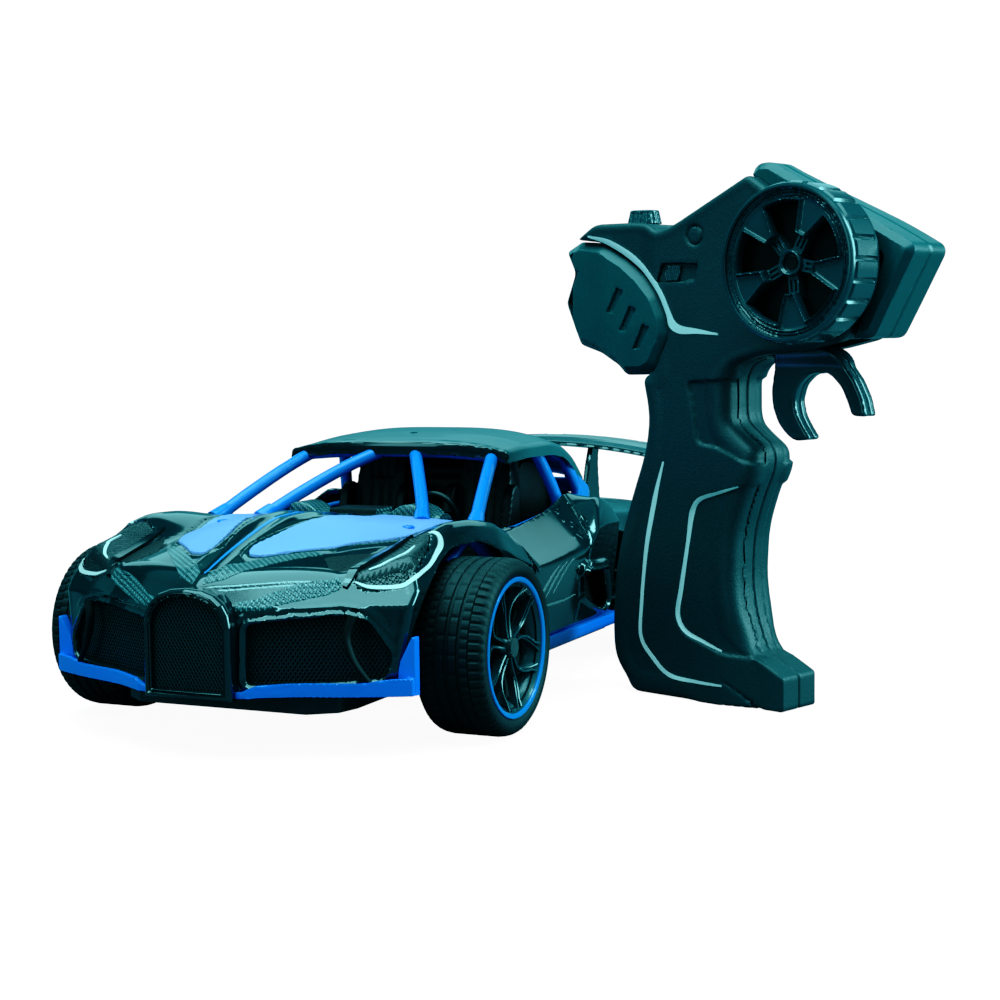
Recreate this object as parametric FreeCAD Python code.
import FreeCAD, Part
import math
import os

# Remote control car with its hand transmitter. Millimetres, +Z up.
# Frame: ground level under the middle of the wheelbase, the car's nose towards -Y,
# the car's left side towards +X. The transmitter stands beside it on the +X side.

# ---- driving dimensions of the car
WHEELBASE = 176.0
FRONT_Y = -WHEELBASE / 2     # front axle
REAR_Y = WHEELBASE / 2       # rear axle
TYRE_R = 28.0
AXLE_Z = TYRE_R              # all four tyres stand on the ground
TYRE_IN = 56.0               # inner face of a tyre, from the centre plane
TYRE_OUT = 80.0              # outer face of a tyre, from the centre plane
RIM_R = 22.2                 # rim flange radius, also the tyre's bead radius
BARREL_R = 19.2              # outside of the rim barrel between its flanges
BARREL_IN_R = 18.0
AXLE_R = 1.6                 # rear axle
STUB_R = 1.5                 # front stub axles
AXLE_END_X = 78.6            # outer ends of the rear axle and the stub axles
RUN = 0.06                   # running clearance on radius
BUSH_R = 3.5                 # rear axle bush
UPRIGHT_X = (40, 46)         # inner and outer faces of a rear upright
KINGPIN_X = 52.0
KINGPIN_R = 1.5
STEER_ARM = 18.0             # kingpin to tie rod pin, along Y
HORN_ARM = 14.0
TIE_X = 50.5                 # tie rod pin, from the centre plane
TIE_Y = FRONT_Y + STEER_ARM
SERVO_Y = TIE_Y + HORN_ARM   # servo shaft
SHELL_T = 1.8                # body shell wall
BODY_FRONT, BODY_REAR = -143, 138
FLOOR_Z = 12.0               # underside of the chassis
TRAY_W = 54.0                # half width of the chassis tray between the wheels
BAY = (-20, 20, -40, 34)     # battery opening in the floor: x0, x1, y0, y1
SCREWS = [(50, -36), (-50, -36), (50, 48), (-50, 48)]        # body screws: x, y
FLOOR_HOLES = [(30, -26), (-30, -26), (30, 26), (-30, 26)]   # x, y
TUBE_R = 2.3                 # roll cage tube

Vector = FreeCAD.Vector
SIDES = (1, -1)              # left (+X), right (-X)
PARTS = {}


# ---- helpers
def box(x0, x1, y0, y1, z0, z1):
    return Part.makeBox(abs(x1 - x0), y1 - y0, z1 - z0, Vector(min(x0, x1), y0, z0))


def cyl_x(x0, x1, y, z, radius):
    return Part.makeCylinder(radius, abs(x1 - x0), Vector(min(x0, x1), y, z), Vector(1, 0, 0))


def cyl_y(x, y, z, radius, length):
    return Part.makeCylinder(radius, length, Vector(x, y, z), Vector(0, 1, 0))


def cyl_z(x, y, z, radius, height):
    return Part.makeCylinder(radius, height, Vector(x, y, z), Vector(0, 0, 1))


def wire(points):
    return Part.makePolygon([Vector(*p) for p in points] + [Vector(*points[0])])


def prism_xy(points, z0, z1):
    return Part.Face(wire([(x, y, z0) for x, y in points])).extrude(Vector(0, 0, z1 - z0))


def prism_xz(points, y0, y1):
    return Part.Face(wire([(x, y0, z) for x, z in points])).extrude(Vector(0, y1 - y0, 0))


def prism_yz(points, x0, x1):
    return Part.Face(wire([(x0, y, z) for y, z in points])).extrude(Vector(x1 - x0, 0, 0))


def revolve_x(points, y, z):
    """Closed (x, radius) outline turned about the X axis through (y, z)."""
    face = Part.Face(wire([(x, y, z + radius) for x, radius in points]))
    return face.revolve(Vector(0, y, z), Vector(1, 0, 0), 360)


def slot(x, y, radius, reach, z, height):
    """Round-ended slot along Y, its end centres at y - reach and y + reach."""
    return fuse([box(x - radius, x + radius, y - reach, y + reach, z, z + height),
                 cyl_z(x, y - reach, z, radius, height),
                 cyl_z(x, y + reach, z, radius, height)])


def tube(points, radius):
    """Cylinders along a path, with balls at its inner corners."""
    pieces = []
    for start, end in zip(points[:-1], points[1:]):
        run = Vector(*end) - Vector(*start)
        pieces.append(Part.makeCylinder(radius, run.Length, Vector(*start), run))
    return pieces + [Part.makeSphere(radius, Vector(*p)) for p in points[1:-1]]


def fuse(shapes):
    return shapes[0].multiFuse(shapes[1:]).removeSplitter()


def cut(shape, *tools):
    for tool in tools:
        shape = shape.cut(tool)
    return shape


def biggest(shape):
    return max(shape.Solids, key=lambda solid: solid.Volume)


def mirror(shape):
    return shape.mirror(Vector(0, 0, 0), Vector(1, 0, 0))


def both(shape):
    return Part.makeCompound([shape, mirror(shape)])


def to_side(points, side):
    return [(side * p[0],) + tuple(p[1:]) for p in points]


def symmetric(half):
    """Full outline from a half that starts and ends on the centre line."""
    return half + [(-x, y) for x, y in reversed(half[1:-1])]


def polar(centre_a, centre_b, radius, angle):
    return centre_a + radius * math.cos(angle), centre_b + radius * math.sin(angle)


def smooth(table):
    """Monotone cubic through (position, value) rows, level beyond its ends."""
    xs = [row[0] for row in table]
    ys = [row[1] for row in table]
    last = len(table) - 1
    slope = [(ys[i + 1] - ys[i]) / (xs[i + 1] - xs[i]) for i in range(last)]
    tangent = [slope[0]]
    for before, after in zip(slope[:-1], slope[1:]):
        turns = before * after <= 0
        tangent.append(0.0 if turns else 2 * before * after / (before + after))
    tangent.append(slope[-1])

    def value(x):
        if x <= xs[0]:
            return ys[0]
        if x >= xs[-1]:
            return ys[-1]
        i = max(k for k in range(last) if xs[k] <= x)
        step = xs[i + 1] - xs[i]
        t = (x - xs[i]) / step
        return ((2 * t ** 3 - 3 * t * t + 1) * ys[i]
                + (t ** 3 - 2 * t * t + t) * step * tangent[i]
                + (-2 * t ** 3 + 3 * t * t) * ys[i + 1]
                + (t ** 3 - t * t) * step * tangent[i + 1])
    return value


# ---- body surface: rails as (y, value) rows
centre_z = smooth([       # height on the centre line
    (-150, 50.5), (-143, 53), (-135, 55), (-120, 57.6), (-100, 60.3), (-80, 62.6), (-60, 64.4),
    (-40, 65.2), (0, 66), (40, 68.5), (60, 68.5), (70, 66.5), (80, 63.5), (95, 58.5), (110, 56),
    (125, 54.6), (138, 56)])
inboard_z = smooth([      # height inboard of the wheels
    (-150, 50), (-143, 51.5), (-135, 53.2), (-120, 56), (-100, 59), (-80, 61.7), (-60, 63.6),
    (-40, 63), (0, 63), (30, 66.5), (60, 64.5), (75, 60), (95, 55.8), (120, 53.6), (138, 54.5)])
fender_z = smooth([       # height over the wheels
    (-150, 50), (-143, 50.5), (-135, 52.5), (-128, 55.5), (-118, 59), (-106, 62), (-98, 65),
    (-87, 66.5), (-77, 66.3), (-58, 64), (-48, 60.5), (-36, 56), (-20, 57.2), (8, 61.5),
    (25, 65.8), (52, 61.8), (66, 57.5), (76, 55.5), (95, 53.6), (120, 52.6), (138, 53)])
half_width = smooth([
    (-143, 16), (-141.5, 22), (-140, 30), (-137, 41.3), (-133, 52), (-130, 58), (-127, 62.5),
    (-122, 63), (-100, 62), (-60, 62), (-30, 62.5), (0, 62.5), (30, 62.5), (50, 61.5), (58, 58),
    (63, 53.2), (80, 52.5), (112, 52.5), (119, 56), (124, 60.5), (132, 61), (138, 57)])
bottom_z = smooth([       # lower edge
    (-143, 19.6), (-127, 21.2), (-121, 20), (-110, 18.9), (110, 18.9), (120, 21), (138, 25)])
STATIONS = [-143, -141.5, -140, -137, -133, -130, -127, -122, -112, -100, -88, -76, -62, -50,
            -42, -34, -20, 0, 14, 26, 40, 52, 58, 63, 72, 84, 98, 112, 119, 125, 132, 138]


def half_section(y, offset, drop):
    """(x, z) points from the centre line out and down to the lower edge.
    offset moves the surface outwards, drop lowers the bottom edge."""
    width, centre, inboard, fender = half_width(y), centre_z(y), inboard_z(y), fender_z(y)
    scale = min(1.0, width / 62.0)
    shoulder = fender - 7.5
    bottom = bottom_z(y)
    waist = bottom + 0.45 * (shoulder - bottom)
    return [(0, centre + offset), (8 * scale, centre - 0.2 + offset),
            (22 * scale, centre - 0.8 + offset), (39 * scale, inboard + offset),
            (49 * scale, (inboard + fender) / 2 - 0.3 + offset),
            (56.5 * scale, fender + offset * 0.9),
            (width - 0.6 + offset * 0.9, fender - 2.2 + offset * 0.5),
            (width + offset, shoulder), (width - 0.6 + offset, waist + 6),
            (width - 3.0 + offset, waist - 4), (width - 4.5 + offset, bottom - drop)]


def body_loft(offset, drop, front, rear):
    wires = []
    for y in [front] + [y for y in STATIONS if front < y < rear] + [rear]:
        half = half_section(y, offset, drop)
        wires.append(wire([(-x, y, z) for x, z in reversed(half)]
                          + [(x, y, z) for x, z in half[1:]]))
    return Part.makeLoft(wires, True, True)


# ---- chassis tray
TRAY_OUTER = [            # half outlines: x, y
    (0, -134), (30, -134), (38, -128), (40, -120), (40, -54), (TRAY_W, -40), (TRAY_W, 54),
    (49.5, 60), (49.5, 116), (44, 122), (0, 122)]
TRAY_INNER = [
    (0, -131.5), (29, -131.5), (36, -126), (37.8, -119), (37.8, -54.8), (51.8, -40.8),
    (51.8, 53), (47.3, 59), (47.3, 115), (43, 119.8), (0, 119.8)]


def bay_box(margin, z0, z1):
    return box(BAY[0] - margin, BAY[1] + margin, BAY[2] - margin, BAY[3] + margin, z0, z1)


def chassis_tray():
    outline = symmetric(TRAY_OUTER)
    floor = prism_xy(outline, FLOOR_Z, FLOOR_Z + 2)
    rim_wall = prism_xy(outline, FLOOR_Z + 1, FLOOR_Z + 6).cut(
        prism_xy(symmetric(TRAY_INNER), FLOOR_Z, FLOOR_Z + 9))
    # front suspension arms, below and above the knuckle
    arm = fuse([box(36, KINGPIN_X, FRONT_Y - 4, FRONT_Y + 4, 14.6, 17.6),
                cyl_z(KINGPIN_X, FRONT_Y, 14.6, 3.4, 3),
                box(34, KINGPIN_X, FRONT_Y - 4, FRONT_Y + 4, 38.5, 41.5),
                cyl_z(KINGPIN_X, FRONT_Y, 38.5, 3.4, 3),
                box(34, 38, FRONT_Y - 12, FRONT_Y + 12, 13, 41.5)])
    bulkhead = box(-35, 35, FRONT_Y - 12, FRONT_Y - 8, 13, 41.5).cut(
        box(-24, 24, FRONT_Y - 13, FRONT_Y - 7, 20, 36))
    upright = box(*UPRIGHT_X, REAR_Y - 7, REAR_Y + 7, 13, 37)
    bay_wall = bay_box(2, 13, 24).cut(bay_box(0, 10, 30))
    tray = fuse([floor, rim_wall, arm, mirror(arm), bulkhead, upright, mirror(upright),
                 bay_wall])
    tray = tray.cut(bay_box(0, 10, 15))
    for side in SIDES:
        tray = cut(tray, cyl_z(side * KINGPIN_X, FRONT_Y, 10, KINGPIN_R, 40),
                   cyl_x(side * (UPRIGHT_X[0] - 1), side * (UPRIGHT_X[1] + 1),
                         REAR_Y, AXLE_Z, BUSH_R))
    for x, y in SCREWS:   # screw hole, head recess, room for the shell's boss
        tray = cut(tray, cyl_z(x, y, 11, 1.3, 8), cyl_z(x, y, 11, 2.6, 1.9),
                   box(x - 5, x + 5, y - 4.2, y + 4.2, 14.05, 19))
    for x, y in FLOOR_HOLES:
        tray = tray.cut(cyl_z(x, y, 10, 1.6, 6))
    return cut(tray, box(27, 35, 0, 14, 10, 15),                      # power switch slot
               box(11, 17, REAR_Y - 8, REAR_Y + 8, 13.0, 15))         # under the axle gear


tray = chassis_tray()
PARTS["chassis_tray"] = tray

# ---- body shell
DUCT_OUTER = [            # nose duct: x, z
    (-15.2, 17.9), (-15.2, 40), (-14.4, 44), (-12.6, 47), (-9.6, 49.4), (-5.5, 50.8), (0, 51.3),
    (5.5, 50.8), (9.6, 49.4), (12.6, 47), (14.4, 44), (15.2, 40), (15.2, 17.9)]
DUCT_INNER = [
    (-13.0, 19.6), (-13.0, 40), (-12.3, 43), (-10.8, 45.6), (-8.2, 47.6), (-4.8, 48.8),
    (0, 49.2), (4.8, 48.8), (8.2, 47.6), (10.8, 45.6), (12.3, 43), (13.0, 40), (13.0, 19.6)]
INTAKE = [                # opening beside the duct: x, z
    (17.2, 22.8), (17.2, 40.6), (44.5, 43), (51, 41.4), (57.2, 31), (55.2, 25.2), (41, 24.3)]
CABIN = [                 # cabin opening: x, y
    (-34, -49), (-46, -42), (-49, -20), (-49.5, 15), (-47, 40), (-41, 60),
    (41, 60), (47, 40), (49.5, 15), (49, -20), (46, -42), (34, -49)]
SCOOP = [(22, 39), (41, 36), (57, 38), (40, 22), (22, 30)]   # side scoop: y, z before scaling
HOOD = [                  # hood panel: x, y
    (9.5, -132), (13, -135.5), (22, -133), (33, -121), (42.5, -98), (44, -74), (44.5, -57),
    (37, -54.5), (9.5, -54.5)]
LAMP = [                  # headlight lens: x, y
    (45.5, -133), (50, -132.5), (58.5, -127.2), (60, -120), (57, -106), (52.5, -94),
    (46, -100), (43, -115), (43.5, -126)]


def open_shell(outer, core):
    """Hollow body with its nose duct, openings and screw bosses."""
    shell = fuse([outer.cut(core), prism_xz(DUCT_OUTER, -153, -139)])
    shell = shell.cut(prism_xz(DUCT_INNER, -156, -136))
    for side in SIDES:
        shell = shell.cut(prism_xz(to_side(INTAKE, side), -150, -120))
    shell = shell.cut(prism_xy(CABIN, 40, 90))
    # front wheel arch: an oval merged with a rounder opening behind it, open at the bottom;
    # the rear wheels only clip the body
    oval = []
    for i in range(40):
        angle = 2 * math.pi * i / 40
        oval.append((FRONT_Y + 37.5 * math.cos(angle), AXLE_Z + 31.5 * math.sin(angle)))
    for side in SIDES:
        shell = cut(shell, prism_yz(oval, side * 42, side * 90),
                    cyl_x(side * 42, side * 90, -80, 20, 39.5),
                    box(side * 42, side * 90, -125.3, -41, 0, 26),
                    cyl_x(side * 53.9, side * 90, REAR_Y, AXLE_Z, 30.5))
    scoop = [(y * 0.96 + 1.5, z * 0.9 + 3) for y, z in SCOOP]
    for side in SIDES:
        shell = shell.cut(prism_yz(scoop, side * 50, side * 70))
    for side in SIDES:    # rear axle holes
        shell = shell.cut(cyl_x(side * 44, side * 60, REAR_Y, AXLE_Z, 6.0))
    shell = shell.cut(box(-44, 44, 121.9, 142, 10, 34))      # opening for the diffuser
    for x, y in SCREWS:   # bosses stay within the body and a block just below its edge
        side = 1 if x > 0 else -1
        boss = box(side * 46.6, side * 58.6, y - 4, y + 4, 14.15, 24)
        limit = outer.fuse(box(side * 40, side * 57.5, y - 5, y + 5, 10, 20))
        shell = fuse([shell, boss.common(limit)])
    for x, y in SCREWS:
        shell = shell.cut(cyl_z(x, y, 13, 1.1, 9))
    return shell


outer = body_loft(0.0, 0.0, BODY_FRONT, BODY_REAR)
core = body_loft(-SHELL_T, 6.0, -141.0, 136.2)
shelf = body_loft(-0.9, 3.0, -142.0, 137.0)      # floor of the panel and lens recesses
proud = body_loft(0.25, 0.0, BODY_FRONT, BODY_REAR)
shell = open_shell(outer, core)

# hood panels stand proud of the body, headlight lenses lie flush with it
panels, lenses = [], []
for side in SIDES:
    for outline, bottom, skin, pieces in ((HOOD, 40, proud, panels), (LAMP, 48, outer, lenses)):
        column = prism_xy(to_side(outline, side), bottom, 80)
        pieces.append(biggest(skin.common(column).cut(shelf)))
        shell = shell.cut(column.cut(shelf))
PARTS["hood_panels"] = Part.makeCompound(panels)
PARTS["headlight_lenses"] = Part.makeCompound(lenses)

shell = biggest(shell.cut(box(-50, 50, 136.9, 142, 44, 48.5)))   # tail light slot
PARTS["body_shell"] = shell
PARTS["tail_light"] = box(-49.9, 49.9, 136.9, 139.2, 44.1, 48.4)

# grille meshes: a flat one in the duct, one behind each intake following the body
MESH = [(15.8, 21.6), (15.8, 41.8), (45, 44), (52, 42.4), (58.5, 31), (56, 23.4), (41, 22.6)]
mesh_band = body_loft(-SHELL_T, 0.0, -141.0, -110).cut(
    body_loft(-SHELL_T - 1.0, 6.0, -139.9, -109))
meshes = [prism_xz([(x * 0.985, z) for x, z in DUCT_INNER], -150.2, -149.0)]
for side in SIDES:
    meshes.append(biggest(mesh_band.common(prism_xz(to_side(MESH, side), -150, -126))))
PARTS["grille_meshes"] = Part.makeCompound(meshes)

# ---- front splitter: two stacked plates with an upright fin at each end
SPLITTER_W = 64.6         # half width
SPLITTER_REAR = -125.6
FIN = [(57.8, 18.5), (64.6, 18.5), (64.4, 36.5), (62.6, 36.2), (59.6, 27), (57.8, 25.4)]  # x, z
edge = [(x, BODY_FRONT + 16 * (abs(x) / 64.5) ** 2.2 - 3.0)
        for x in (-SPLITTER_W, -60, -54, -48, -40, -30, -20, -10, 0,
                  10, 20, 30, 40, 48, 54, 60, SPLITTER_W)]
upper_plate = prism_xy(
    edge + [(SPLITTER_W, SPLITTER_REAR), (56, SPLITTER_REAR), (40.2, SPLITTER_REAR),
            (40.2, -119), (-40.2, -119), (-40.2, SPLITTER_REAR), (-56, SPLITTER_REAR),
            (-SPLITTER_W, SPLITTER_REAR)], 18.4, 19.5)
lower_plate = prism_xy(
    [(x * 0.97, y + 2.5) for x, y in edge]
    + [(60, -125.7), (41, -125.7), (41, -122), (-41, -122), (-41, -125.7), (-60, -125.7)],
    17.2, 18.5)
fins = [prism_xz(to_side(FIN, side), -129.4, SPLITTER_REAR) for side in SIDES]
splitter = fuse([upper_plate, lower_plate] + fins)
PARTS["front_splitter"] = biggest(cut(splitter, prism_xz(DUCT_OUTER, -153, -139), shell, tray))

# ---- side skirts
skirt = prism_xz([(TRAY_W, 13.6), (57.6, 13.6), (58.6, 15.2), (58.4, 18.8), (54.4, 18.8),
                  (TRAY_W, 18)], -39, 56)
PARTS["side_skirts"] = both(biggest(skirt.cut(shell)))

# ---- rear diffuser: block with a sloped tunnel, four vanes and two round holes
diffuser = prism_xz([(-43.9, 12.2), (43.9, 12.2), (43.9, 33.9), (-43.9, 33.9)], 122.2, 134)
diffuser = diffuser.cut(prism_yz([(121, 10), (121, 15), (140, 27), (140, 10)], -41, 41))
VANE = [(122.2, 13), (132.5, 19), (134, 26), (134, 28), (122.2, 20)]     # y, z
for x in (-30, -15, 15, 30):
    diffuser = diffuser.fuse(prism_yz(VANE, x - 0.9, x + 0.9))
diffuser = cut(diffuser, cyl_y(-7, 130, 29, 3, 8), cyl_y(7, 130, 29, 3, 8))
PARTS["rear_diffuser"] = biggest(cut(diffuser.removeSplitter(), shell, tray))

# ---- cabin
TUB_Z = 38.2              # underside of the tub
SEAT_BASE_Z = 39.9        # just above the tub floor
SEAT_X = 22               # seats, dash humps and steering wheel, from the centre plane


def cockpit_tub():
    dash = [(-49, TUB_Z), (-49, 62), (-46, 65.5), (-38, 65), (-35, 61), (-35, TUB_Z)]
    tub = fuse([box(-44, 44, -49, 54.8, TUB_Z, TUB_Z + 1.6),
                box(-45.6, -44, -41, 40, TUB_Z, 56), box(44, 45.6, -41, 40, TUB_Z, 56),
                prism_yz(dash, -33, 33)])
    for x in (-SEAT_X, SEAT_X):
        tub = tub.fuse(cyl_y(x, -48, 58.5, 10.5, 12).cut(box(-60, 60, -60, 0, 30, 55)))
    tub = tub.fuse(box(-5, 5, -35.2, 24, TUB_Z, 48))         # centre tunnel
    tilt = Vector(0, 1, 0.25)
    for piece in (Part.makeCylinder(2, 10, Vector(SEAT_X, -38, 60), tilt),
                  Part.makeTorus(8, 1.1, Vector(SEAT_X, -28, 62.6), tilt),
                  Part.makeCylinder(2.4, 1.6, Vector(SEAT_X, -28.8, 62.4), tilt),
                  box(14.5, 29.5, -28.9, -27.3, 61.6, 63.4)):
        tub = tub.fuse(piece)
    return biggest(tub.removeSplitter().cut(shell))


SEAT_PROFILES = [         # y, z outline; x0, x1 from the seat's middle
    ([(-16, SEAT_BASE_Z), (-16, 47), (-6, 48.5), (6, 46), (14, 46), (15, SEAT_BASE_Z)], -13, 13),
    ([(6, 44), (13, 79), (17, 81), (20.5, 79), (15.5, 44)], -11, 11),
    ([(12.5, 72), (14, 82), (18, 83), (20.5, 81), (18.5, 72)], -6.5, 6.5),
    ([(3, 44), (8, 70), (14, 72), (14, 44)], -14, -10.5),
    ([(3, 44), (8, 70), (14, 72), (14, 44)], 10.5, 14)]


def seat(x):
    pieces = [prism_yz(outline, x + x0, x + x1) for outline, x0, x1 in SEAT_PROFILES]
    bolsters = [box(x + x0, x + x0 + 3.5, -15, 14, SEAT_BASE_Z, 51) for x0 in (-14, 10.5)]
    return biggest(fuse(pieces + bolsters))


tub = cockpit_tub()
PARTS["cockpit_tub"] = tub
PARTS["seats"] = Part.makeCompound([seat(x) for x in (-SEAT_X, SEAT_X)])

engine = prism_yz([(24, 39.9), (24, 76), (28, 78.5), (40, 78), (49, 74.5), (54.8, 71.6),
                   (54.8, 39.9)], -31, 31)
for y in (30, 36, 42):    # grooves across the top
    engine = engine.cut(box(-26, 26, y, y + 2.4, 75.4, 80))
PARTS["engine_cover"] = biggest(cut(engine, shell, tub))

# ---- roof panel
ROOF_T = 1.8
ROOF = [                  # y, half width, crown z, edge z, flange drop
    (-15.5, 42.5, 86.0, 81.8, 1.5), (-8, 43.6, 88.6, 83.0, 3.2), (4, 44, 90.6, 84.0, 3.6),
    (21, 44, 91.4, 84.4, 3.6), (36, 43.4, 89.6, 83.0, 3.6), (50, 42, 84.6, 79.4, 4.2),
    (60, 40.6, 78.8, 74.6, 4.5), (67, 39.6, 74.0, 70.6, 3.0)]


def roof_section(y, width, crown, edge_z, drop):
    def arch(flange, half, top, reach):
        """Flange points, then a curve from reach * half to the centre, and its mirror."""
        points = list(flange)
        for i in range(5):
            u = reach - reach * i / 4
            points.append((half * u, top - (crown - edge_z) * u ** 2.4))
        return points + [(-x, z) for x, z in reversed(points[:-1])]

    inner_w = width - ROOF_T
    over = arch([(width, edge_z - drop), (width + 0.2, edge_z - 0.4)], width, crown, 0.93)
    under = arch([(inner_w, edge_z - drop), (inner_w, edge_z - ROOF_T - 0.6)],
                 inner_w, crown - ROOF_T, 0.90)
    return wire([(x, y, z) for x, z in over + under[::-1]])


roof = Part.makeLoft([roof_section(*row) for row in ROOF], True, True)
PARTS["roof_panel"] = biggest(roof.cut(cyl_z(0, -1, 80, 1.5, 15)))

# ---- roll cage: left side paths, x, y, z
PILLAR_TOP = (37, -12, 83.0)
BRACE_TOP = (6.9, -14, 84.2)
MID_JOINT = (40.2, 18, 83.6)
REAR_JOINT = (38, 50, 78.6)
CAGE_FRONT = [            # radius, path
    (TUBE_R, [(50.3, -55.0, 64.3), (46, -41.5, 70.5), (41.5, -26, 78), PILLAR_TOP]),
    (TUBE_R, [(31.0, -55.5, 65.0), (22, -40, 74), (13, -26, 80.6), BRACE_TOP]),
    (TUBE_R * 0.95, [PILLAR_TOP, (40.2, 4, 84.2), (40.2, 20, 83.6), (39.4, 36, 82.4),
                     REAR_JOINT, (36.8, 60, 73.2), (36, 66.5, 69.4)])]
CAGE_REAR = [             # two posts, then the sill rail inside the cabin opening
    (TUBE_R, [MID_JOINT, (43.5, 25, 71), (45.6, 30, 60)]),
    (TUBE_R, [REAR_JOINT, (40.5, 56, 69), (41.5, 60, 60.5)]),
    (1.5, [(46.9, -39, 57.5), (47.4, -20, 57), (47.6, 10, 59.5), (46.2, 28, 60.5),
           (43, 46, 60.5), (41.5, 60, 60.5)])]
CAGE_ACROSS = [           # radius, left half of the path
    (TUBE_R, [PILLAR_TOP, (22, -13.6, 84.0), BRACE_TOP]),
    (1.9, [MID_JOINT, (26, 18, 86.2)]),
    (1.9, [REAR_JOINT, (24, 50, 80.4)])]
QUARTER_PANEL = [         # x, y
    (41.5, 55), (43.2, 55.8), (41.8, 68), (39.4, 76), (37.6, 76), (38.6, 66)]
REAR_DECK = [             # strip behind the roof: y, z
    (62.0, 66.0), (67.5, 69.8), (78, 64.6), (78, 62.6), (67.5, 67.6), (62, 64)]


def roll_cage():
    pieces = []
    for side in SIDES:
        for radius, path in CAGE_FRONT:
            pieces += tube(to_side(path, side), radius)
        for joint in to_side([PILLAR_TOP, BRACE_TOP], side):
            pieces.append(Part.makeSphere(TUBE_R, Vector(*joint)))
        for radius, path in CAGE_REAR:
            pieces += tube(to_side(path, side), radius)
        pieces.append(prism_xy(to_side(QUARTER_PANEL, side), 58.5, 69.0))
    for radius, half in CAGE_ACROSS:
        pieces += tube(to_side(half, -1) + half[::-1], radius)
    pieces.append(prism_yz(REAR_DECK, -37.8, 37.8))
    return biggest(cut(fuse(pieces), PARTS["roof_panel"], shell, PARTS["hood_panels"],
                       PARTS["engine_cover"], tub, PARTS["seats"]))


PARTS["roll_cage"] = roll_cage()

# ---- rear wing
WING_W = 57               # half width of the blade
blade = prism_yz([(108, 80.6), (116, 79.2), (126, 79.6), (135, 82.4), (135.2, 83.2),
                  (125, 81.4), (116, 81.2), (109, 81.6)], -WING_W, WING_W)
end_plate = prism_yz([(107, 76.5), (107, 83.2), (130, 85), (136, 85.5), (136, 80), (126, 77)],
                     WING_W, WING_W + 1.6)
wing = fuse([blade, end_plate, mirror(end_plate)])
PARTS["rear_wing"] = wing
strut = prism_yz([(104, 54), (122, 54), (119.5, 72), (121, 79.9), (114, 79.9), (110, 72)],
                 24, 26.2)
PARTS["wing_struts"] = both(biggest(cut(strut, wing, outer)))


# ---- fixings and electrics of the car
def body_screw(x, y):
    """Cross-slotted screw, head down."""
    return cut(fuse([cyl_z(x, y, 12.15, 2.4, 0.75), cyl_z(x, y, 12.6, 1.1, 8.5)]),
               box(x - 1.6, x + 1.6, y - 0.3, y + 0.3, 12, 12.5),
               box(x - 0.3, x + 0.3, y - 1.6, y + 1.6, 12, 12.5))


def kingpin(x):
    pin = cyl_z(x, FRONT_Y, 14.0, KINGPIN_R, 28.2)
    return pin.fuse(cyl_z(x, FRONT_Y, 41.5, 2.4, 1)).removeSplitter()


PARTS["body_screws"] = Part.makeCompound([body_screw(x, y) for x, y in SCREWS])
PARTS["kingpins"] = Part.makeCompound([kingpin(side * KINGPIN_X) for side in SIDES])

PACK_Y = (-31, 15)
pack = box(-18.6, 13.2, *PACK_Y, 14.3, 25.0)
long_edges = [e for e in pack.Edges if abs(e.Length - (PACK_Y[1] - PACK_Y[0])) < 0.01]
PARTS["battery_pack"] = pack.makeFillet(4.6, long_edges)

door = fuse([bay_box(-0.2, FLOOR_Z, FLOOR_Z + 1.6), box(-19, 19, -39, -37, 13, 20),
             box(-19, 19, 31, 33, 13, 20)])
grips = [box(-12, 12, 22 + i * 2.4, 23 + i * 2.4, 11, 12.5) for i in range(3)]
PARTS["battery_door"] = door.cut(fuse(grips))

PARTS["circuit_board"] = fuse([
    box(-46, -25, -22, 20, 17.2, 18.8),                                    # board
    box(-43, -35, -16, -8, 18.8, 21), box(-40, -30, 0, 12, 18.8, 22),      # components
    cyl_z(-30, -14, 18.8, 2.5, 7),
    box(-46, -42, -20, -17, 14, 17.2), box(-46, -42, 15, 18, 14, 17.2)])   # feet
PARTS["power_switch"] = fuse([box(28.5, 33.5, 1.0, 8.5, 12.1, 14.4),
                              box(28.0, 34.0, 0.8, 9.5, 14.4, 16)])
RIBBON = [                # flat cable outline: x, y
    (29.2, 11), (24.0, 25.6), (11.6, 35.2), (-13.6, 36.2), (-25.4, 29.2), (-31.6, 21.4),
    (-32.8, 22.4), (-26.4, 30.6), (-14.2, 37.8), (12.2, 36.8), (25.4, 26.6), (30.8, 11)]
PARTS["wire_harness"] = fuse([prism_xy(RIBBON, 26.5, 28.1), box(27, 33, 10, 16, 18, 28.1)])

# ---- steering
STUB_SEAT_X = 53.6        # the stub axle's seat ends short of the kingpin bore
KNUCKLE_Z, KNUCKLE_H = 18.0, 20.2
ARM_Z, ARM_T = 31, 2.4    # knuckle's steering arm
TIE_Z, TIE_T = 33.9, 2.1  # tie rod, above the arm

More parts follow.
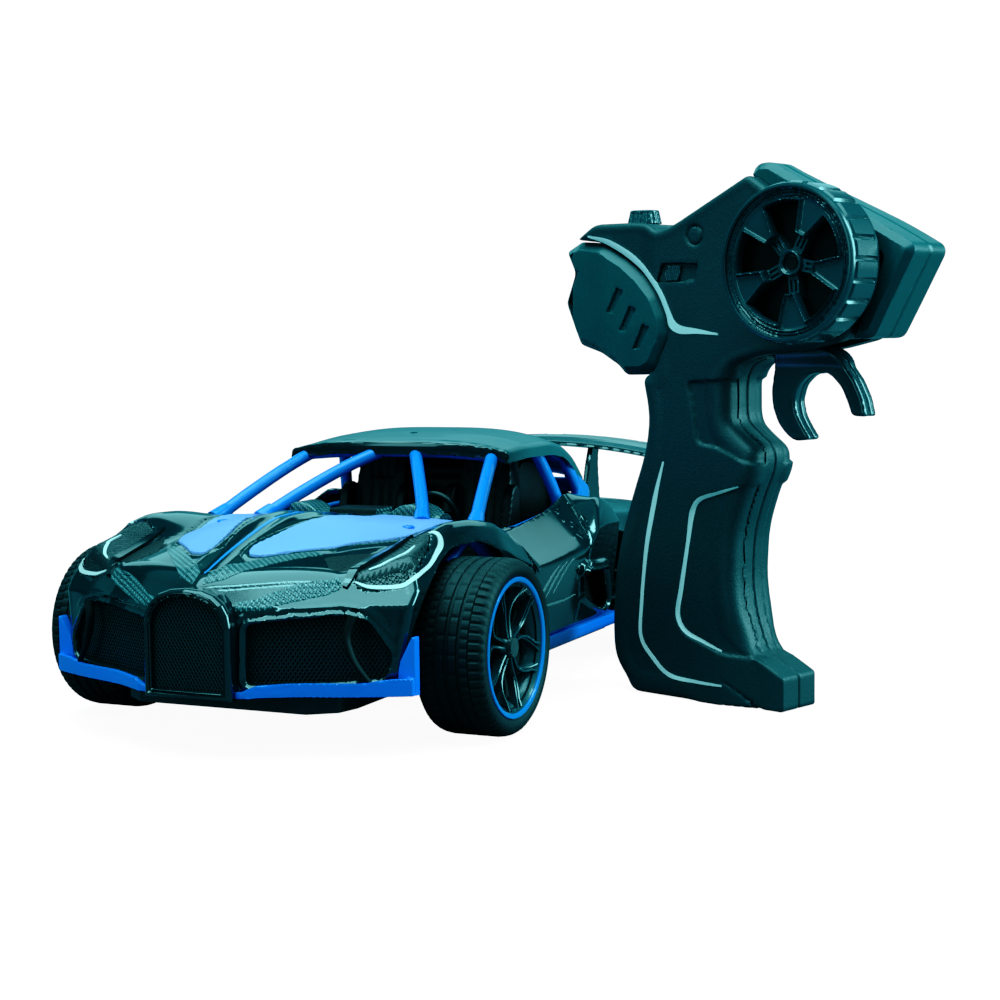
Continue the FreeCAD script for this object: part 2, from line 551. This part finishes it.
knuckle = fuse([
    box(48.6, 54.6, FRONT_Y - 5, FRONT_Y + 5, KNUCKLE_Z, KNUCKLE_Z + KNUCKLE_H),
    cyl_z(KINGPIN_X, FRONT_Y, KNUCKLE_Z, 3.6, KNUCKLE_H),
    box(48.5, 52.5, FRONT_Y, TIE_Y - 1, ARM_Z, ARM_Z + ARM_T),
    cyl_z(TIE_X, TIE_Y, ARM_Z, 3.6, ARM_T)])
knuckle = cut(knuckle, slot(TIE_X, TIE_Y, 1.6, 1.2, 30, 5),
              cyl_z(KINGPIN_X, FRONT_Y, 10, KINGPIN_R + RUN, 40),
              cyl_x(STUB_SEAT_X, 60, FRONT_Y, AXLE_Z, STUB_R))
stub = fuse([cyl_x(STUB_SEAT_X, 77.4, FRONT_Y, AXLE_Z, STUB_R),
             cyl_x(77.2, AXLE_END_X, FRONT_Y, AXLE_Z, 3.0)])
for name, shape in (("knuckle", knuckle), ("stub_axle", stub)):
    PARTS[name + "_left"] = shape
    PARTS[name + "_right"] = mirror(shape)

tie_rod = fuse([box(-TIE_X, TIE_X, TIE_Y - 1.6, TIE_Y + 1.6, TIE_Z, TIE_Z + TIE_T),
                cyl_z(TIE_X, TIE_Y, TIE_Z, 2.6, TIE_T), cyl_z(-TIE_X, TIE_Y, TIE_Z, 2.6, TIE_T),
                cyl_z(TIE_X, TIE_Y, 30.6, 1.2, 4), cyl_z(-TIE_X, TIE_Y, 30.6, 1.2, 4),
                box(-5, 5, TIE_Y - 4.2, TIE_Y + 4.2, TIE_Z, TIE_Z + TIE_T)])
PARTS["tie_rod"] = tie_rod.cut(slot(0, TIE_Y, 1.45, 1.4, 33, 4))

HORN_SHAFT_R = 2.0
servo = fuse([box(-10, 10, SERVO_Y - 5, SERVO_Y + 13, 14, 29.2),
              cyl_z(0, SERVO_Y, 29.2, 4.5, 1.6),
              box(-14, 14, SERVO_Y - 4, SERVO_Y + 12, 24, 26)])
PARTS["steering_servo"] = servo.cut(cyl_z(0, SERVO_Y, 26, HORN_SHAFT_R + RUN, 8))
PARTS["servo_horn"] = fuse([
    cyl_z(0, SERVO_Y, 27, HORN_SHAFT_R, 6.4), cyl_z(0, SERVO_Y, 31.2, 3.4, 2.2),
    box(-2, 2, TIE_Y, SERVO_Y, 31.2, 33.4), cyl_z(0, TIE_Y, 31.2, 2.4, 2.2),
    cyl_z(0, TIE_Y, 31.2, 1.2, 5.2)])

# ---- wheels, built on the left side
WHEEL_W = TYRE_OUT - TYRE_IN
SEAT_INSET = 2.2          # rim flange width plus its inset from the tyre face


def tyre(y):
    """Tyre with three grooves round its tread."""
    groove_r = TYRE_R - 1.1
    middle = WHEEL_W / 2
    half = [(0.9, RIM_R), (0, 24.2), (0.5, 26.2), (2.2, 27.6), (4.2, TYRE_R), (7.6, TYRE_R),
            (7.9, groove_r), (9.1, groove_r), (9.4, TYRE_R), (middle - 0.6, TYRE_R),
            (middle - 0.4, groove_r)]
    seat_x = WHEEL_W - SEAT_INSET
    profile = half + [(WHEEL_W - x, radius) for x, radius in reversed(half)]
    profile += [(seat_x, RIM_R), (seat_x, BARREL_R), (SEAT_INSET, BARREL_R),
                (SEAT_INSET, RIM_R)]
    return revolve_x([(TYRE_IN + x, radius) for x, radius in profile], y, AXLE_Z)


def rim(y, bore):
    """Flanged barrel and hub joined by five pairs of spokes."""
    left_x, right_x = TYRE_IN + 1.0, TYRE_OUT - 1.0
    seat_in, seat_out = TYRE_IN + SEAT_INSET, TYRE_OUT - SEAT_INSET
    pieces = [revolve_x([(left_x, RIM_R), (left_x, BARREL_IN_R), (right_x, BARREL_IN_R),
                         (right_x, RIM_R), (seat_out, RIM_R), (seat_out, BARREL_R),
                         (seat_in, BARREL_R), (seat_in, RIM_R)], y, AXLE_Z),
              cyl_x(TYRE_IN + 3.4, TYRE_OUT - 3.2, y, AXLE_Z, 4.2)]
    for i in range(5):
        for spread in (-9.0, 9.0):
            spoke = prism_yz([(y - 0.9, AXLE_Z + 2.5), (y + 0.9, AXLE_Z + 2.5),
                              (y + 0.9, AXLE_Z + 18.4), (y - 0.9, AXLE_Z + 18.4)],
                             TYRE_OUT - 6.0, TYRE_OUT - 3.6)
            spoke.rotate(Vector(0, y, AXLE_Z), Vector(1, 0, 0), 72 * i + spread)
            pieces.append(spoke)
    return fuse(pieces).cut(cyl_x(TYRE_IN - 5, TYRE_OUT + 5, y, AXLE_Z, bore))


for name, shape in (("tyre_front", tyre(FRONT_Y)), ("rim_front", rim(FRONT_Y, STUB_R + RUN))):
    PARTS[name + "_left"] = shape
    PARTS[name + "_right"] = mirror(shape)
PARTS["tyres_rear"] = both(tyre(REAR_Y))
PARTS["rims_rear"] = both(rim(REAR_Y, AXLE_R))
PARTS["rear_axle"] = fuse([cyl_x(-AXLE_END_X, AXLE_END_X, REAR_Y, AXLE_Z, AXLE_R),
                           cyl_x(47.2, 49.0, REAR_Y, AXLE_Z, 3.0),
                           cyl_x(-49.0, -47.2, REAR_Y, AXLE_Z, 3.0)])


def wheel_nut(side):
    hexagon = [polar(REAR_Y, AXLE_Z, 2.9, math.radians(60 * i)) for i in range(6)]
    return prism_yz(hexagon, side * 76.8, side * 78.4).cut(
        cyl_x(side * 70, side * 85, REAR_Y, AXLE_Z, AXLE_R))


def axle_bush(side):
    inner, outer_x = UPRIGHT_X
    barrel = cyl_x(side * inner, side * outer_x, REAR_Y, AXLE_Z, BUSH_R)
    flange = cyl_x(side * 38.8, side * inner, REAR_Y, AXLE_Z, 4.6)
    return barrel.fuse(flange).removeSplitter().cut(
        cyl_x(side * 30, side * 50, REAR_Y, AXLE_Z, AXLE_R + RUN))


PARTS["wheel_nuts_rear"] = Part.makeCompound([wheel_nut(side) for side in SIDES])
PARTS["axle_bushes"] = Part.makeCompound([axle_bush(side) for side in SIDES])

# ---- gear train: motor pinion, reduction gear, axle gear
GEAR_MODULE = 0.8
PRESSURE_ANGLE = math.radians(25.0)
BACKLASH = 0.12
AXLE_TEETH, SMALL_TEETH, BIG_TEETH, PINION_TEETH = 34, 14, 36, 12
SHAFT_R = 1.5             # reduction gear shaft
MOTOR_SHAFT_R = 1.0
# shaft directions in the YZ plane: axle to reduction gear, reduction gear to motor
RED_DIR = math.radians(155.7)
MOTOR_DIR = math.radians(207.6)
RED_Y, RED_Z = polar(REAR_Y, AXLE_Z, GEAR_MODULE * (AXLE_TEETH + SMALL_TEETH) / 2, RED_DIR)
MOTOR_Y, MOTOR_Z = polar(RED_Y, RED_Z, GEAR_MODULE * (BIG_TEETH + PINION_TEETH) / 2, MOTOR_DIR)


def gear(teeth, x0, x1, y, z, tooth_dir):
    """Solid involute gear along X, one tooth centred on angle tooth_dir in the YZ plane."""
    pitch_r = GEAR_MODULE * teeth / 2
    base_r = pitch_r * math.cos(PRESSURE_ANGLE)
    tip_r = pitch_r + 0.85 * GEAR_MODULE
    root_r = pitch_r - 1.15 * GEAR_MODULE
    half_tooth = (math.pi * GEAR_MODULE / 2 - BACKLASH) / 2 / pitch_r

    def involute(angle):
        return math.tan(angle) - angle

    start_r = max(base_r, root_r)
    flank = []            # radius, half angle of the tooth there
    for i in range(6):
        radius = start_r + (tip_r - start_r) * i / 5
        angle = math.acos(min(1.0, base_r / radius))
        flank.append((radius, half_tooth + involute(PRESSURE_ANGLE) - involute(angle)))
    if root_r < base_r:   # radial line from the root up to the base circle
        flank.insert(0, (root_r, flank[0][1]))
    points = []
    for i in range(teeth):
        centre = tooth_dir + 2 * math.pi * i / teeth
        points += [polar(y, z, radius, centre - half) for radius, half in flank]
        points += [polar(y, z, radius, centre + half) for radius, half in reversed(flank)]
    return prism_yz(points, x0, x1)


def bored_gear(teeth, x0, x1, y, z, tooth_dir, bore):
    return gear(teeth, x0, x1, y, z, tooth_dir).cut(cyl_x(x0 - 1, x1 + 1, y, z, bore))


PARTS["axle_gear"] = fuse([
    bored_gear(AXLE_TEETH, 12, 16, REAR_Y, AXLE_Z, RED_DIR, AXLE_R),
    cyl_x(16, 20, REAR_Y, AXLE_Z, 5).cut(cyl_x(10, 22, REAR_Y, AXLE_Z, AXLE_R))])
PARTS["reduction_gear"] = fuse([
    bored_gear(SMALL_TEETH, 11.5, 17, RED_Y, RED_Z,
               RED_DIR + math.pi + math.pi / SMALL_TEETH, SHAFT_R + RUN),
    bored_gear(BIG_TEETH, 6.5, 11.5, RED_Y, RED_Z, MOTOR_DIR, SHAFT_R + RUN)])
PARTS["motor_pinion"] = fuse([
    gear(PINION_TEETH, 6.8, 11.2, MOTOR_Y, MOTOR_Z,
         MOTOR_DIR + math.pi + math.pi / PINION_TEETH),
    cyl_x(-2, 11.2, MOTOR_Y, MOTOR_Z, MOTOR_SHAFT_R)])
motor = fuse([cyl_x(-24, 2.5, MOTOR_Y, MOTOR_Z, 9.9), cyl_x(2.5, 4.2, MOTOR_Y, MOTOR_Z, 3.0)])
PARTS["drive_motor"] = motor.cut(cyl_x(-3, 6, MOTOR_Y, MOTOR_Z, MOTOR_SHAFT_R + RUN))

CASE_X0, CASE_X1 = 2.6, 21.5
CASE_END = REAR_Y + 7
case = fuse([box(CASE_X0, 5.6, 40.5, CASE_END, 14, 37.8), box(CASE_X0, 5.6, 60, CASE_END, 30, 48),
             box(18.5, CASE_X1, 60, CASE_END, 14, 48),
             box(CASE_X0, CASE_X1, CASE_END, CASE_END + 2, 14, 20),
             box(CASE_X0, CASE_X1, 60, CASE_END, 14, 14.5)])
PARTS["gearbox_case"] = biggest(cut(
    case, cyl_x(0, 6, MOTOR_Y, MOTOR_Z, 3.02), cyl_x(0, 30, REAR_Y, AXLE_Z, 5.4),
    cyl_x(2, 22, RED_Y, RED_Z, SHAFT_R), cyl_x(5.9, 18.4, REAR_Y, AXLE_Z, 15.2)))
PARTS["gear_shaft"] = cyl_x(CASE_X0, CASE_X1, RED_Y, RED_Z, SHAFT_R)

# ---- transmitter, in its own frame: X forward, Y to its left, Z up
# Outlines are (x, z); a depth is measured to the right of its centre plane, along -Y.
TX_ORIGIN = Vector(149.42, -15.21, 0)    # ground under the front of the base, centre plane
TX_YAW = -20.0            # its forward direction, degrees from the car's +X
TX_HALF = 12.5            # half thickness of the shells
TX_WALL = 2.0
TX_PLACE = FreeCAD.Placement(TX_ORIGIN, FreeCAD.Rotation(Vector(0, 0, 1), TX_YAW))
WHEEL = (15.6, 146.4)     # steering wheel axis: x, z
WHEEL_SHAFT_R = 2.0
WHEEL_RIM_R = 22.6
PIVOT = (3.0, 126.5)      # trigger pivot: x, z
PIVOT_R = 1.2
BUTTON = (-33.3, 158.0)   # round button: x, z
KNOB_X = -65

TX_SHELL = [
    (0.5, 0), (0.5, 11.5), (-12, 18), (-16.5, 30), (-18.5, 42), (-17.5, 59), (-13, 72),
    (-9, 80), (-9, 87), (-16, 92), (-20.5, 96), (-20.5, 110), (-18, 114.8), (-8, 117.8),
    (10, 119.2), (26, 122.7), (37.5, 147.5), (-3, 170.5), (-11.5, 176.4), (-49, 159.0),
    (-55, 163.5), (-79, 164), (-87, 159.2), (-75, 157.6), (-64, 152.0), (-56.5, 146.5),
    (-49.8, 139.5), (-46.0, 131.5), (-44.8, 124.5), (-52, 112.5), (-57.5, 110.4), (-54.5, 97),
    (-56.5, 84.5), (-62.5, 69.5), (-69.5, 49), (-72, 24), (-71, 11), (-62, 0)]
HEAD_COVER = [
    (-7, 180.5), (-2, 180.6), (48.5, 151.5), (49.2, 149), (35.0, 123.6), (33, 122.7),
    (26.2, 122.7), (37.7, 147.6), (-2.8, 170.8), (-11.2, 176.7)]
REAR_COVER = [
    (-87.4, 158.8), (-75.2, 157.2), (-64.3, 151.6), (-56.9, 146.1), (-50.3, 139.3),
    (-46.5, 131.4), (-45.3, 124.5), (-52.2, 113), (-57.0, 110.9), (-66, 110.8), (-70, 115),
    (-78, 119), (-89, 122), (-96.5, 137), (-91.5, 147.5), (-95.8, 155.3)]
TRIGGER = [               # finger loop open at the bottom
    (-7.5, 121.5), (-5.2, 114), (-6.5, 106.5), (-6.2, 101), (-4, 95.5), (-1, 92), (2.5, 89.6),
    (8.8, 90.2), (6, 94), (3.4, 98.2), (2.4, 103.0), (4.0, 108), (8, 111.4), (12.2, 112),
    (16.2, 110.8), (20.2, 107), (22.6, 102), (24.2, 97.6), (30.6, 97.4), (29, 104), (26, 110),
    (21.6, 115.4), (15, 119.2), (9, 121.5), (8, 129.5), (-2.5, 129.5)]


def add_tx(name, shape):
    """Keep a transmitter piece, moved to its place beside the car."""
    shape = shape.copy()
    shape.Placement = TX_PLACE.multiply(shape.Placement)
    PARTS["tx_" + name] = shape


def tx_prism(points, near, far):
    return prism_xz(points, -near, -far)


def tx_cyl(centre, near, far, radius):
    x, z = centre
    return Part.makeCylinder(radius, abs(far - near), Vector(x, -min(near, far), z),
                             Vector(0, -1, 0))


def chamfered(outline, half, step, side):
    """Half block with a stepped outer edge: the outline, then its inward offset."""
    face = Part.Face(wire([(x, 0, z) for x, z in outline]))
    block = face.extrude(Vector(0, -side * (half - step), 0))
    top = face.makeOffset2D(-step).copy()
    top.translate(Vector(0, -side * (half - step), 0))
    return block.fuse(top.extrude(Vector(0, -side * step, 0))).removeSplitter()


def tx_shell(side):
    """Hollow shell half; side is 1 for the right, -1 for the left."""
    inside = Part.Face(wire([(x, 0, z) for x, z in TX_SHELL])).makeOffset2D(-TX_WALL)
    half = cut(chamfered(TX_SHELL, TX_HALF, 2.0, side),
               inside.extrude(Vector(0, -side * (TX_HALF - 2.2), 0)),
               tx_prism([(-13, 112), (24, 112), (24, 124), (-13, 124)], -6.2, 6.2),   # trigger
               tx_prism([(-70, -1), (-11, -1), (-11, 2.4), (-70, 2.4)], -9.2, 9.2))   # door
    half = fuse([half, tx_cyl(PIVOT, side * 7.2, side * 10.6, 3.2)])
    half = cut(half, tx_cyl(PIVOT, side * 6, side * 9.6, PIVOT_R),
               cyl_z(KNOB_X, 0, 160.6, 6.3, 6))
    if side == 1:         # wheel shaft bearing, power switch opening, button hole
        half = fuse([half, tx_cyl(WHEEL, 8.0, 13.6, 5.2)])
        half = cut(half, tx_cyl(WHEEL, 7, 15, WHEEL_SHAFT_R + RUN),
                   tx_prism([(-50, 142.4), (-47.6, 149.4), (-31.6, 148.8), (-33.4, 142.0)],
                            9, 14),
                   tx_cyl(BUTTON, 9, 14, 3.0))
    return biggest(half)


def tx_cover(outline, half, step):
    return fuse([chamfered(outline, half, step, side) for side in (1, -1)])


right, left = tx_shell(1), tx_shell(-1)
add_tx("shell_right", right)
add_tx("shell_left", left)
add_tx("head_cover", biggest(cut(tx_cover(HEAD_COVER, 11.0, 1.2), right, left)))

rear_cover = tx_cover(REAR_COVER, 12.0, 2.0)
for i in range(3):        # slanted grooves on both faces
    x, z = -68.5 + i * 5.8, 137.5 - i * 6.4
    groove = [(x - 3.6, z - 4.4), (x - 1.4, z - 4.4), (x + 3.4, z + 3.4), (x + 1.2, z + 4.0)]
    for side in (1, -1):
        rear_cover = rear_cover.cut(tx_prism(groove, side * 11, side * 13))
add_tx("rear_cover", biggest(cut(rear_cover, right, left)))


# ---- transmitter's steering wheel: ribbed ring on a five-window rim, on a shaft
def wheel_ring():
    x, z = WHEEL
    ring = tx_cyl(WHEEL, 14.4, 28.6, 24.6).cut(tx_cyl(WHEEL, 14.0, 29, WHEEL_RIM_R))
    for i in range(24):
        groove = tx_prism([(x - 0.5, z + 24.1), (x + 0.5, z + 24.1), (x + 0.5, z + 25),
                           (x - 0.5, z + 25)], 14, 29)
        groove.rotate(Vector(x, 0, z), Vector(0, -1, 0), 15 * i)
        ring = ring.cut(groove)
    return ring


def wheel_rim():
    disc = tx_cyl(WHEEL, 14.8, 28.2, WHEEL_RIM_R).cut(tx_cyl(WHEEL, 14, 24.6, 21.0))
    for i in range(5):
        middle = 72 * i + 126
        window = [polar(*WHEEL, 19.0, math.radians(middle - 27 + 9 * k)) for k in range(7)]
        window += [polar(*WHEEL, 8.5, math.radians(middle + turn)) for turn in (16, -16)]
        disc = disc.cut(tx_prism(window, 24, 29))
    return cut(fuse([disc, tx_cyl(WHEEL, 14.6, 27.6, 4.4)]),
               tx_cyl(WHEEL, 14, 26.0, WHEEL_SHAFT_R), tx_cyl(WHEEL, 27.0, 29, 3.0))


add_tx("wheel_tyre", wheel_ring())
add_tx("wheel_rim", wheel_rim())
add_tx("wheel_shaft", fuse([tx_cyl(WHEEL, 6.0, 26.0, WHEEL_SHAFT_R),
                            tx_cyl(WHEEL, 6.0, 7.6, 3.6)]))

# ---- transmitter's controls and electrics
add_tx("trigger", tx_prism(TRIGGER, -5, 5).cut(tx_cyl(PIVOT, -6, 6, PIVOT_R + RUN)))
add_tx("trigger_pin", tx_cyl(PIVOT, -9.5, 9.5, PIVOT_R))
add_tx("power_switch", fuse([
    tx_prism([(-46.8, 143.0), (-45.4, 148.4), (-39.4, 148.2), (-40.8, 142.9)], 9.6, 12.1),
    tx_prism([(-48.4, 142.9), (-47, 148.4), (-37.4, 148.2), (-38.8, 142.9)], 8.2, 9.6)]))
knob = Part.makeCone(6.1, 5.0, 4.6, Vector(KNOB_X, 0, 163.9), Vector(0, 0, 1))
knob = knob.fuse(cyl_z(KNOB_X, 0, 157.6, 2.4, 6.6)).removeSplitter()
add_tx("trim_knob", knob.cut(box(KNOB_X - 0.5, KNOB_X + 0.5, 2.2, 5.2, 167.9, 169.1)))
add_tx("round_button", tx_cyl(BUTTON, 9.2, 12.4, 2.85))
add_tx("circuit_board", fuse([
    tx_prism([(-38, 131), (12, 131), (12, 150), (-38, 153)], -9.6, -8.0),
    tx_cyl((WHEEL[0] - 6.5, WHEEL[1] - 6), -8.2, 3.5, 5.5),
    tx_prism([(-34, 133), (-24, 133), (-24, 141), (-34, 141)], -8.2, -4),
    tx_prism([(-18, 134), (-10, 134), (-10, 146), (-18, 146)], -8.2, -6)]))
add_tx("batteries", Part.makeCompound([
    Part.makeCylinder(7.1, 50, Vector(x, 0, 8), Vector(-0.05, 0, 1)) for x in (-32.5, -48.5)]))
add_tx("battery_door", tx_prism([(-62.2, 0), (-11.2, 0), (-11.2, 2.2), (-64.0, 2.2)], -9.0, 9.0))

# ---- export
os.makedirs("parts", exist_ok=True)
for name, shape in PARTS.items():
    if not shape.isValid():   # heals any boolean result left slightly out of tolerance
        shape = shape.copy()
        shape.fix(1e-4, 1e-4, 1e-3)
    solids = shape.Solids
    result = solids[0] if len(solids) == 1 else Part.makeCompound(solids)
    result.exportStep(os.path.join("parts", name + ".step"))
